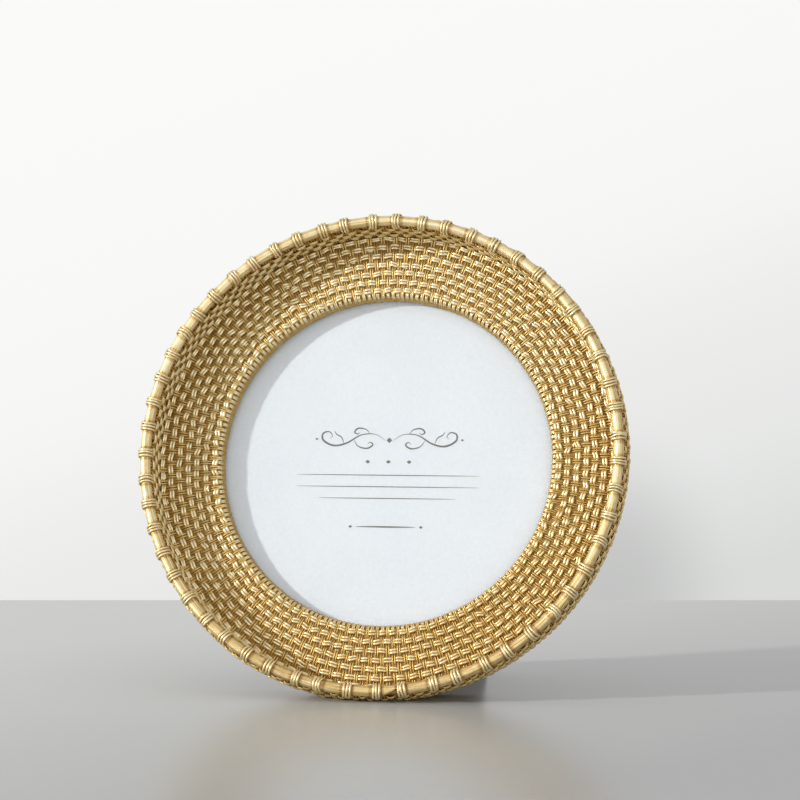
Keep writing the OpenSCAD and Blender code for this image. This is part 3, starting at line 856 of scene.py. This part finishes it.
def ink_material():
    mat, nt, bsdf, out = new_material("print_ink")
    co = object_coords(nt)
    n1 = noise(nt, co, 1500.0, 3.0, 0.6)
    nt.links.new(ramp_out(nt, n1.outputs["Fac"], [(0.3, rgb(84, 80, 74)), (0.75, rgb(112, 106, 98))]), bsdf.inputs["Base Color"])
    bsdf.inputs["Roughness"].default_value = 0.6
    return mat


card = disc_piece("card_sheet", 65.0, 20.58, 20.79, 0.06, 22)
put_material(card, paper_material())
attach(card, "frame")
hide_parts("photo_card")

INK_D0, INK_D1 = 20.53, 20.565
ink_v, ink_q = [], []


def ink_stroke(points, widths):
    """A flat printed stroke: points (n, 2) of x, v in mm and widths (n,) in mm."""
    p = np.asarray(points, float)
    w = np.asarray(widths, float)
    t_ = np.gradient(p, axis=0)
    t_ /= np.maximum(np.linalg.norm(t_, axis=1, keepdims=True), 1e-9)
    nrm = np.stack([-t_[:, 1], t_[:, 0]], -1)
    left = p + nrm * w[:, None] / 2
    right = p - nrm * w[:, None] / 2
    base = sum(len(x) for x in ink_v)
    n = len(p)
    rows = []
    for dd in (INK_D0, INK_D1):
        for side_ in (left, right):
            rows.append(np.stack([side_[:, 0], np.full(n, dd), side_[:, 1]], -1))
    ink_v.append(np.concatenate(rows))
    a, b, c, d = (base + n * k_ for k_ in range(4))  # front left, front right, back left, back right
    for i_ in range(n - 1):
        ink_q.append([a + i_, a + i_ + 1, b + i_ + 1, b + i_])
        ink_q.append([c + i_, d + i_, d + i_ + 1, c + i_ + 1])
        ink_q.append([a + i_, c + i_, c + i_ + 1, a + i_ + 1])
        ink_q.append([b + i_, b + i_ + 1, d + i_ + 1, d + i_])
    ink_q.append([a, b, d, c])
    ink_q.append([a + n - 1, c + n - 1, d + n - 1, b + n - 1])


def swell(n, lo, hi, power=1.0):
    return lo + (hi - lo) * np.sin(np.linspace(0, math.pi, n)) ** power


def curve_points(ctrl, n):
    """Catmull-Rom through the control points."""
    c = np.array([ctrl[0]] + list(ctrl) + [ctrl[-1]], float)
    out = []
    seg = len(ctrl) - 1
    per = max(2, n // seg)
    for s_ in range(seg):
        p0, p1, p2, p3 = c[s_ : s_ + 4]
        for t_ in np.linspace(0, 1, per, endpoint=s_ == seg - 1):
            out.append(0.5 * (2 * p1 + (p2 - p0) * t_ + (2 * p0 - 5 * p1 + 4 * p2 - p3) * t_**2 + (3 * p1 - p0 - 3 * p2 + p3) * t_**3))
    return np.array(out)


def spiral(cx, cv, r0, r1, a0, turns, n=60):
    a_ = np.linspace(a0, a0 + turns * 2 * math.pi, n)
    r_ = np.linspace(r0, r1, n)
    return np.stack([cx + r_ * np.cos(a_), cv + r_ * np.sin(a_)], -1)


ORN_V = 0.0  # set from the photograph's place of the print


def mirrored(points, widths):
    p = np.asarray(points, float)
    ink_stroke(p, widths)
    ink_stroke(p * np.array([-1, 1]), widths)


def lozenge(cx, cv, w, h):
    ink_stroke([[cx - w / 2, cv], [cx - w / 4, cv], [cx, cv], [cx + w / 4, cv], [cx + w / 2, cv]], [0.04, h / 2, h, h / 2, 0.04])


# a generic symmetrical flourish, then three lozenges, three fine rules and a short rule
TOP_V = 8.9
main = curve_points([[1.6, 0.0], [5.5, 2.3], [11.0, 2.0], [16.5, -1.2], [21.5, -2.2], [25.6, -0.2], [25.9, 2.4], [23.6, 3.2], [22.2, 1.6], [23.2, 0.6]], 120)
mirrored(main + [0, TOP_V], swell(len(main), 0.12, 0.75, 1.5))
leaf = curve_points([[7.5, 2.3], [9.2, 4.2], [12.2, 4.6], [13.6, 3.1], [12.3, 2.4], [11.5, 3.1]], 70)
mirrored(leaf + [0, TOP_V], swell(len(leaf), 0.10, 0.6, 1.2))
low = curve_points([[14.0, 0.4], [12.0, -2.4], [8.6, -3.2], [6.4, -1.9], [7.3, -0.8], [8.4, -1.5]], 70)
mirrored(low + [0, TOP_V], swell(len(low), 0.10, 0.6, 1.2))
tip = curve_points([[17.5, -1.6], [18.6, 1.0], [20.6, 2.2], [21.4, 3.6]], 40)
mirrored(tip + [0, TOP_V], swell(len(tip), 0.08, 0.45))
lozenge(0, TOP_V, 2.2, 2.2)
for s_ in (-1, 1):
    lozenge(s_ * 28.2, TOP_V + 0.3, 1.2, 1.0)
for s_ in (-1, 0, 1):
    lozenge(s_ * 8.0, TOP_V - 8.4, 1.9, 1.5)
for row_, half_ in ((0, 35.5), (1, 35.5), (2, 26.5)):
    xs = np.linspace(-half_, half_, 60)
    ink_stroke(np.stack([xs, np.full(60, TOP_V - 13.6 - 4.5 * row_)], -1), swell(60, 0.05, 0.34, 0.5))
xs = np.linspace(-11.5, 11.5, 40)
ink_stroke(np.stack([xs, np.full(40, TOP_V - 33.6)], -1), swell(40, 0.06, 0.6, 0.6))
for s_ in (-1, 1):
    lozenge(s_ * 13.6, TOP_V - 33.6, 1.5, 1.2)

ink = make_object("card_print", world(np.concatenate(ink_v), False), np.array(ink_q), smooth=False)
fix_normals(ink)
put_material(ink, ink_material())
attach(ink, "frame")
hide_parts("photo_card")


# ---------------------------------------------------------------- glass
def glass_material():
    mat = bpy.data.materials.new("pane_glass")
    mat.use_nodes = True
    nt = mat.node_tree
    nt.nodes.clear()
    out = node(nt, "ShaderNodeOutputMaterial")
    mix = node(nt, "ShaderNodeMixShader")
    clear = node(nt, "ShaderNodeBsdfTransparent")
    clear.inputs[0].default_value = (0.985, 0.995, 0.99, 1)
    gloss = node(nt, "ShaderNodeBsdfGlossy")
    gloss.inputs["Color"].default_value = (1, 1, 1, 1)
    gloss.inputs["Roughness"].default_value = 0.02
    face = node(nt, "ShaderNodeLayerWeight")
    face.inputs["Blend"].default_value = 0.5
    edge = math_node(nt, "POWER", face.outputs["Facing"], 5.0)
    nt.links.new(math_node(nt, "ADD", math_node(nt, "MULTIPLY", edge, 0.9), 0.04, clamp=True), mix.inputs[0])
    nt.links.new(clear.outputs[0], mix.inputs[1])
    nt.links.new(gloss.outputs[0], mix.inputs[2])
    nt.links.new(mix.outputs[0], out.inputs[0])
    return mat


# ---------------------------------------------------------------- materials for the fittings and boards
def steel_material(name, light, dark, rough_lo, rough_hi, scale, stretch):
    mat, nt, bsdf, out = new_material(name)
    co = object_coords(nt, stretch)
    grain = noise(nt, co, scale, 4.0, 0.6)
    spots = noise(nt, object_coords(nt), 260.0, 3.0, 0.5)
    col = ramp_out(nt, grain.outputs["Fac"], [(0.25, dark), (0.75, light)])
    col = mix_colour(nt, "MULTIPLY", 0.45, col, ramp_out(nt, spots.outputs["Fac"], [(0.35, rgb(205, 205, 210)), (0.65, rgb(255, 255, 255))]))
    nt.links.new(col, bsdf.inputs["Base Color"])
    bsdf.inputs["Metallic"].default_value = 1.0
    nt.links.new(map_range(nt, grain.outputs["Fac"], 0.2, 0.8, rough_lo, rough_hi), bsdf.inputs["Roughness"])
    bump = node(nt, "ShaderNodeBump")
    bump.inputs["Strength"].default_value = 0.2
    bump.inputs["Distance"].default_value = 0.00008
    nt.links.new(grain.outputs["Fac"], bump.inputs["Height"])
    nt.links.new(bump.outputs[0], bsdf.inputs["Normal"])
    return mat


ZINC = steel_material("zinc_sheet", rgb(205, 207, 208), rgb(160, 163, 166), 0.30, 0.48, 900.0, (0.12, 1.0, 1.0))
NICKEL = steel_material("nickel_plate", rgb(222, 216, 205), rgb(190, 184, 172), 0.12, 0.28, 1400.0, (1.0, 1.0, 1.0))


def fibre_material(name, light, dark, scale):
    mat, nt, bsdf, out = new_material(name)
    co = object_coords(nt, (1.0, 1.0, 1.0))
    layer = noise(nt, object_coords(nt, (0.3, 3.0, 1.0)), scale, 6.0, 0.7, 0.4)
    chips = noise(nt, co, scale * 2.4, 4.0, 0.6)
    col = ramp_out(nt, layer.outputs["Fac"], [(0.3, dark), (0.7, light)])
    col = mix_colour(nt, "MULTIPLY", 0.6, col, ramp_out(nt, chips.outputs["Fac"], [(0.35, rgb(170, 160, 150)), (0.65, rgb(255, 255, 255))]))
    nt.links.new(col, bsdf.inputs["Base Color"])
    bsdf.inputs["Roughness"].default_value = 0.85
    bump = node(nt, "ShaderNodeBump")
    bump.inputs["Strength"].default_value = 0.5
    bump.inputs["Distance"].default_value = 0.0003
    nt.links.new(chips.outputs["Fac"], bump.inputs["Height"])
    nt.links.new(bump.outputs[0], bsdf.inputs["Normal"])
    return mat


BOARD = fibre_material("fibreboard", rgb(132, 100, 66), rgb(84, 60, 38), 500.0)
FILLER = fibre_material("filler_card", rgb(176, 156, 126), rgb(146, 124, 94), 700.0)


def velvet_material():
    mat, nt, bsdf, out = new_material("velvet_pile")
    co = object_coords(nt)
    pile = noise(nt, co, 3800.0, 2.0, 0.7)
    nap = noise(nt, object_coords(nt, (1.0, 1.0, 0.35)), 90.0, 4.0, 0.6, 0.6)
    col = ramp_out(nt, pile.outputs["Fac"], [(0.3, rgb(16, 15, 17)), (0.75, rgb(48, 46, 50))])
    col = mix_colour(nt, "MULTIPLY", 0.7, col, ramp_out(nt, nap.outputs["Fac"], [(0.35, rgb(150, 150, 155)), (0.65, rgb(255, 255, 255))]))
    nt.links.new(col, bsdf.inputs["Base Color"])
    bsdf.inputs["Roughness"].default_value = 0.95
    bsdf.inputs["Specular IOR Level"].default_value = 0.15
    bsdf.inputs["Sheen Weight"].default_value = 0.55
    bsdf.inputs["Sheen Roughness"].default_value = 0.35
    bsdf.inputs["Sheen Tint"].default_value = (0.62, 0.62, 0.68, 1)
    height = math_node(nt, "ADD", pile.outputs["Fac"], math_node(nt, "MULTIPLY", nap.outputs["Fac"], 0.6))
    bump = node(nt, "ShaderNodeBump")
    bump.inputs["Strength"].default_value = 0.9
    bump.inputs["Distance"].default_value = 0.0003
    nt.links.new(height, bump.inputs["Height"])
    nt.links.new(bump.outputs[0], bsdf.inputs["Normal"])
    return mat


VELVET = velvet_material()

for name_ in ("turn_button_upper_left", "turn_button_upper_right", "turn_button_lower_left", "turn_button_lower_right", "hinge_board_leaf", "hinge_leg_leaf", "hanger_strap"):
    put_material(NODES[name_], ZINC)
for name_ in ("turn_button_screws", "hinge_board_rivets", "hinge_pin", "hinge_leg_rivets", "ribbon_board_tack", "ribbon_leg_tack", "hanger_screw", "hanger_ring"):
    put_material(NODES[name_], NICKEL)
for name_ in ("back_board", "easel_leg"):
    put_material(NODES[name_], BOARD)
put_material(NODES["filler_board"], FILLER)
put_material(NODES["glass_pane"], glass_material())


def soften(obj, width, segments=2, angle=35):
    mod = obj.modifiers.new("edge_break", "BEVEL")
    mod.width = width * 0.001
    mod.segments = segments
    mod.limit_method = "ANGLE"
    mod.angle_limit = math.radians(angle)
    mod.harden_normals = False


for name_ in ("turn_button_upper_left", "turn_button_upper_right", "turn_button_lower_left", "turn_button_lower_right"):
    soften(NODES[name_], 0.16)
for name_ in ("hinge_board_leaf", "hinge_leg_leaf", "hanger_strap"):
    soften(NODES[name_], 0.12)

# ---------------------------------------------------------------- velvet skins
skin = disc_piece("back_velvet", 66.0, 26.8, 27.3, 0.22, 40, jitter=0.02)
put_material(skin, VELVET)
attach(skin, "frame")
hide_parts("back_flock")

PIN_Y, HINGE_V = 29.3, 28.0
LEG_A = math.radians(30.0)


def leg_local(x, s, t):
    """Leg coordinates (across, down the leg from the pin, thickness) to local (x, d, v)."""
    d = PIN_Y + t * math.cos(LEG_A) + s * math.sin(LEG_A)
    v_ = HINGE_V + t * math.sin(LEG_A) - s * math.cos(LEG_A)
    return np.stack([x + 0 * s, d + 0 * x, v_ + 0 * x], -1)


def leg_half(s):
    return 20.0 + 11.0 * (s - 3.0) / 112.0


T0, T1 = 2.0, 6.0
COLS = 22
rows_s = np.concatenate([3.0 + 7.0 * (1 - np.cos(np.radians(np.linspace(0, 90, 9)))), np.linspace(12.5, 112.0, 52), [114.5]])
rings = []
for ri, s_ in enumerate(rows_s):
    full = leg_half(max(s_, 10.0))
    if s_ < 10.0:
        c_ = 7.0
        w_ = full - c_ + math.sqrt(max(c_**2 - (c_ - (s_ - 3.0)) ** 2, 0.0))
    else:
        w_ = full
    edge = 0.45
    thin = 0.0
    if ri == 0:
        thin = edge
        w_ -= 0.3
    xs_in = np.linspace(-1, 1, COLS) * (w_ - edge)
    loop = []
    for x_ in xs_in:
        loop.append((x_, T0 + thin))
    loop += [(w_ - edge + edge * math.sin(math.radians(a_)), T0 + thin + edge - edge * math.cos(math.radians(a_))) for a_ in (40, 90)]
    loop += [(w_ - edge + edge * math.cos(math.radians(a_)), T1 - thin - edge + edge * math.sin(math.radians(a_))) for a_ in (0, 50)]
    for x_ in xs_in[::-1]:
        loop.append((x_, T1 - thin))
    loop += [(-(w_ - edge) - edge * math.sin(math.radians(a_)), T1 - thin - edge + edge * math.cos(math.radians(a_))) for a_ in (40, 90)]
    loop += [(-(w_ - edge) - edge * math.cos(math.radians(a_)), T0 + thin + edge - edge * math.sin(math.radians(a_))) for a_ in (0, 50)]
    loop = np.array(loop)
    x_, t_ = loop[:, 0], loop[:, 1]
    s_arr = np.full(len(loop), s_)
    if ri == len(rows_s) - 1:
        s_arr = (110.66 - 0.55 + 0.2588 * t_) / 0.9659
        w_end = leg_half(s_arr)
        x_ = x_ * w_end / w_
    elif ri > 8:
        j_ = RNG.normal(size=len(loop)) * 0.018
        t_ = t_ + np.where((np.abs(x_) < w_ - 1), j_, 0)
    rings.append(leg_local(x_, s_arr, t_))
rings = world(np.array(rings), False)
k_ = rings.shape[1]
verts_, quads_ = loft(np.roll(rings, 2, axis=1))
leg_skin = fix_normals(make_object("leg_velvet", verts_, quads_))
put_material(leg_skin, VELVET)
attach(leg_skin, "leg")
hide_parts("leg_flock")


# ---------------------------------------------------------------- stay ribbon
def ribbon_material():
    mat, nt, bsdf, out = new_material("grosgrain")
    at = node(nt, "ShaderNodeAttribute", attribute_type="GEOMETRY", attribute_name="along")
    rib = math_node(nt, "SINE", math_node(nt, "MULTIPLY", at.outputs["Fac"], 2 * math.pi * 1.6))
    rib = math_node(nt, "ADD", math_node(nt, "MULTIPLY", rib, 0.5), 0.5)
    co = object_coords(nt)
    yarn = noise(nt, co, 4200.0, 2.0, 0.6)
    h_ = math_node(nt, "ADD", rib, math_node(nt, "MULTIPLY", yarn.outputs["Fac"], 0.35))
    col = ramp_out(nt, h_, [(0.1, rgb(14, 14, 16)), (0.9, rgb(52, 51, 55))])
    nt.links.new(col, bsdf.inputs["Base Color"])
    bsdf.inputs["Roughness"].default_value = 0.7
    bsdf.inputs["Sheen Weight"].default_value = 0.25
    bsdf.inputs["Sheen Roughness"].default_value = 0.4
    bump = node(nt, "ShaderNodeBump")
    bump.inputs["Strength"].default_value = 0.8
    bump.inputs["Distance"].default_value = 0.0002
    nt.links.new(h_, bump.inputs["Height"])
    nt.links.new(bump.outputs[0], bsdf.inputs["Normal"])
    return mat


def fillet(points, radii, step):
    """A polyline in 2-D with rounded corners, resampled about every step."""
    pts_ = [np.array(p, float) for p in points]
    out = [pts_[0]]
    for i_ in range(1, len(pts_) - 1):
        a_ = pts_[i_ - 1] - pts_[i_]
        b_ = pts_[i_ + 1] - pts_[i_]
        la, lb = np.linalg.norm(a_), np.linalg.norm(b_)
        a_, b_ = a_ / la, b_ / lb
        cut = radii[i_ - 1]
        p0_, p1_ = pts_[i_] + a_ * cut, pts_[i_] + b_ * cut
        for t_ in np.linspace(0, 1, 12):
            out.append((1 - t_) ** 2 * p0_ + 2 * t_ * (1 - t_) * pts_[i_] + t_**2 * p1_)
    out.append(pts_[-1])
    out = np.array(out)
    seg = np.concatenate([[0], np.cumsum(np.linalg.norm(np.diff(out, axis=0), axis=1))])
    count = int(seg[-1] / step) + 1
    s_ = np.linspace(0, seg[-1], count)
    return np.stack([np.interp(s_, seg, out[:, 0]), np.interp(s_, seg, out[:, 1])], -1), seg[-1]


line = [(27.56, -38.0), (27.56, -46.0), (74.69, -47.41), (78.69, -54.34)]
path2, ribbon_len = fillet(line, (1.6, 1.6), 0.28)
u_ = np.linspace(0, 1, len(path2))
sag = np.where((path2[:, 0] > 30) & (path2[:, 0] < 73), -0.5 * np.sin((path2[:, 0] - 30) / 43 * math.pi), 0)
path2[:, 1] += sag
tang = np.gradient(path2, axis=0)
tang /= np.linalg.norm(tang, axis=1, keepdims=True)
nrm2 = np.stack([-tang[:, 1], tang[:, 0]], -1)
arc = np.concatenate([[0], np.cumsum(np.linalg.norm(np.diff(path2, axis=0), axis=1))])
HALF_W = 5.0
cols = np.linspace(-1, 1, 13)
rings = []
for i_, (p_, n_) in enumerate(zip(path2, nrm2)):
    rib_h = 0.018 * math.sin(arc[i_] * 2 * math.pi / 1.25)
    loop = []
    for c_ in cols:
        hh = 0.16 + rib_h
        q_ = p_ + n_ * hh
        loop.append((c_ * (HALF_W - 0.1), q_[0], q_[1]))
    loop.append((HALF_W, p_[0], p_[1]))
    for c_ in cols[::-1]:
        hh = 0.16 + rib_h
        q_ = p_ - n_ * hh
        loop.append((c_ * (HALF_W - 0.1), q_[0], q_[1]))
    loop.append((-HALF_W, p_[0], p_[1]))
    rings.append(loop)
rings = np.array(rings)
verts_, quads_ = loft(world(np.roll(rings, 1, axis=1), False))
ribbon = make_object("stay_ribbon_band", verts_, quads_, None, {"along": np.repeat(arc, rings.shape[1])})
fix_normals(ribbon)
put_material(ribbon, ribbon_material())


def w3(x, d, v_):
    return tuple(float(c) for c in world(np.array([[x, d, v_]], float), False)[0])


w3(0, 28.2, -46.0)
w3(0, 74.3, -47.4)
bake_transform(ribbon)
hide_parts("stay_ribbon")


# ---------------------------------------------------------------- stage, light, camera
AZ, EL = math.radians(9.7), math.radians(2.4)
P0 = Vector((0, 0.0065, 0.0912))
b_dir = Vector((math.sin(AZ) * math.cos(EL), -math.cos(AZ) * math.cos(EL), math.sin(EL)))
r_dir = Vector((math.cos(AZ), math.sin(AZ), 0))
u_dir = Vector((-math.sin(AZ) * math.sin(EL), math.cos(AZ) * math.sin(EL), math.cos(EL)))
cam_pos = P0 + 0.0078 * r_dir + 0.0196 * u_dir + 1.187 * b_dir
cam = bpy.data.cameras.new("photo_camera")
cam.lens = 142.4
cam.sensor_width = 36.0
cam.sensor_fit = "HORIZONTAL"
cam.clip_start = 0.01
cam.clip_end = 50
cam_obj = bpy.data.objects.new("photo_camera", cam)
m3 = Matrix((r_dir, u_dir, b_dir)).transposed()
cam_obj.matrix_world = Matrix.Translation(cam_pos) @ m3.to_4x4()
bpy.context.scene.collection.objects.link(cam_obj)
bpy.context.scene.camera = cam_obj


def floor_material():
    mat, nt, bsdf, out = new_material("stage_floor")
    tc = node(nt, "ShaderNodeTexCoord")
    n1 = noise(nt, tc.outputs["Object"], 2.0, 3.0, 0.5)
    sp_ = node(nt, "ShaderNodeSeparateXYZ")
    nt.links.new(tc.outputs["Object"], sp_.inputs[0])
    # painted shade: the floor is painted darker to the right and towards the front
    place = math_node(nt, "SUBTRACT", sp_.outputs[0], math_node(nt, "MULTIPLY", sp_.outputs[1], 0.55))
    fade_ = math_node(nt, "ADD", map_range(nt, place, -0.24, 0.22, 0.0, 1.0), math_node(nt, "MULTIPLY", math_node(nt, "SUBTRACT", n1.outputs["Fac"], 0.5), 0.25), clamp=True)
    nt.links.new(ramp_out(nt, fade_, [(0.0, rgb(200, 201, 197)), (1.0, rgb(155, 156, 155))]), bsdf.inputs["Base Color"])
    bsdf.inputs["Roughness"].default_value = 0.27
    bsdf.inputs["Specular IOR Level"].default_value = 0.5
    return mat


fx, fy = 1.6, 1.9
back = 0.337
fwd = Vector((-b_dir.x, -b_dir.y, 0)).normalized()
rgt = Vector((r_dir.x, r_dir.y, 0)).normalized()
o = Vector((P0.x, P0.y, 0))
c0 = o + fwd * back - rgt * fx
c1 = o + fwd * back + rgt * fx
c2 = o - fwd * fy + rgt * fx
c3 = o - fwd * fy - rgt * fx
fl = make_object("studio_floor", np.array([tuple(c3), tuple(c2), tuple(c1), tuple(c0)]), np.array([[0, 1, 2, 3]]), smooth=False)
put_material(fl, floor_material())

sun = bpy.data.lights.new("key_sun", "SUN")
sun.energy = 2.40
sun.angle = math.radians(3.5)
sun.color = (1.0, 0.985, 0.955)
sun_obj = bpy.data.objects.new("key_sun", sun)
to_light = Vector((-8.5, -5.4, 3.4)).normalized()
sun_obj.rotation_mode = "QUATERNION"
sun_obj.rotation_quaternion = to_light.to_track_quat("Z", "Y")
bpy.context.scene.collection.objects.link(sun_obj)

fill = bpy.data.lights.new("front_fill", "AREA")
fill.shape = "DISK"
fill.size = 0.7
fill.energy = 3.4
fill.color = (1.0, 0.98, 0.95)
fill_obj = bpy.data.objects.new("front_fill", fill)
fill_from = Vector((0.36, -0.92, 0.02))
fill_obj.location = fill_from
fill_obj.rotation_mode = "QUATERNION"
fill_obj.rotation_quaternion = (fill_from - Vector((0, 0, 0.13))).to_track_quat("Z", "Y")
fill_obj.visible_camera = False
bpy.context.scene.collection.objects.link(fill_obj)

world_ = bpy.data.worlds.new("studio")
bpy.context.scene.world = world_
world_.use_nodes = True
nt = world_.node_tree
nt.nodes.clear()
wo = node(nt, "ShaderNodeOutputWorld")
bg = node(nt, "ShaderNodeBackground")
tc = node(nt, "ShaderNodeTexCoord")
sep = node(nt, "ShaderNodeSeparateXYZ")
nt.links.new(tc.outputs["Generated"], sep.inputs[0])
# the light of the room: brighter to the left and front, dimmer to the right and behind
lin = math_node(nt, "ADD", math_node(nt, "MULTIPLY", sep.outputs[0], -0.10), math_node(nt, "MULTIPLY", sep.outputs[2], 0.02))
lin = math_node(nt, "ADD", lin, math_node(nt, "MULTIPLY", sep.outputs[1], -0.18))
lin = math_node(nt, "ADD", lin, 0.5, clamp=True)
nt.links.new(ramp_out(nt, lin, [(0.0, (0.42, 0.415, 0.41, 1)), (0.5, (0.80, 0.805, 0.82, 1)), (1.0, (1.15, 1.14, 1.12, 1))]), bg.inputs[0])
bg.inputs[1].default_value = 0.94
# what is seen straight behind: a pale wall, a little dimmer low down and to the right
seen = node(nt, "ShaderNodeBackground")
across = math_node(nt, "ADD", math_node(nt, "MULTIPLY", sep.outputs[0], -0.345), math_node(nt, "MULTIPLY", sep.outputs[1], -0.059))
tone = math_node(nt, "ADD", across, sep.outputs[2])
tone = map_range(nt, tone, -0.132, 0.10, 0.0, 1.0)
# the frame's own soft shade on the wall, low on its right
side_ = math_node(nt, "ADD", math_node(nt, "MULTIPLY", sep.outputs[0], 0.9857), math_node(nt, "MULTIPLY", sep.outputs[1], 0.1685))
da = math_node(nt, "MULTIPLY", math_node(nt, "SUBTRACT", side_, 0.064), 30.0)
db = math_node(nt, "MULTIPLY", math_node(nt, "SUBTRACT", sep.outputs[2], -0.094), 27.0)
far_ = math_node(nt, "SQRT", math_node(nt, "ADD", math_node(nt, "MULTIPLY", da, da), math_node(nt, "MULTIPLY", db, db)))
dim_ = math_node(nt, "SUBTRACT", 1.0, math_node(nt, "MULTIPLY", 0.24, node_smooth(nt, far_)))
nt.links.new(
    ramp_out(
        nt,
        tone,
        [(0.0, (0.70, 0.71, 0.70, 1)), (0.17, (0.79, 0.80, 0.79, 1)), (0.36, (0.85, 0.85, 0.84, 1)), (0.50, (0.91, 0.915, 0.905, 1)), (0.66, (0.94, 0.94, 0.93, 1)), (1.0, (0.955, 0.955, 0.945, 1))],
    ),
    seen.inputs[0],
)
nt.links.new(dim_, seen.inputs[1])
lp = node(nt, "ShaderNodeLightPath")
pick = node(nt, "ShaderNodeMixShader")
nt.links.new(lp.outputs["Is Camera Ray"], pick.inputs[0])
nt.links.new(bg.outputs[0], pick.inputs[1])
nt.links.new(seen.outputs[0], pick.inputs[2])
nt.links.new(pick.outputs[0], wo.inputs[0])

bpy.context.scene.view_settings.view_transform = "Standard"
bpy.context.scene.view_settings.look = "None"
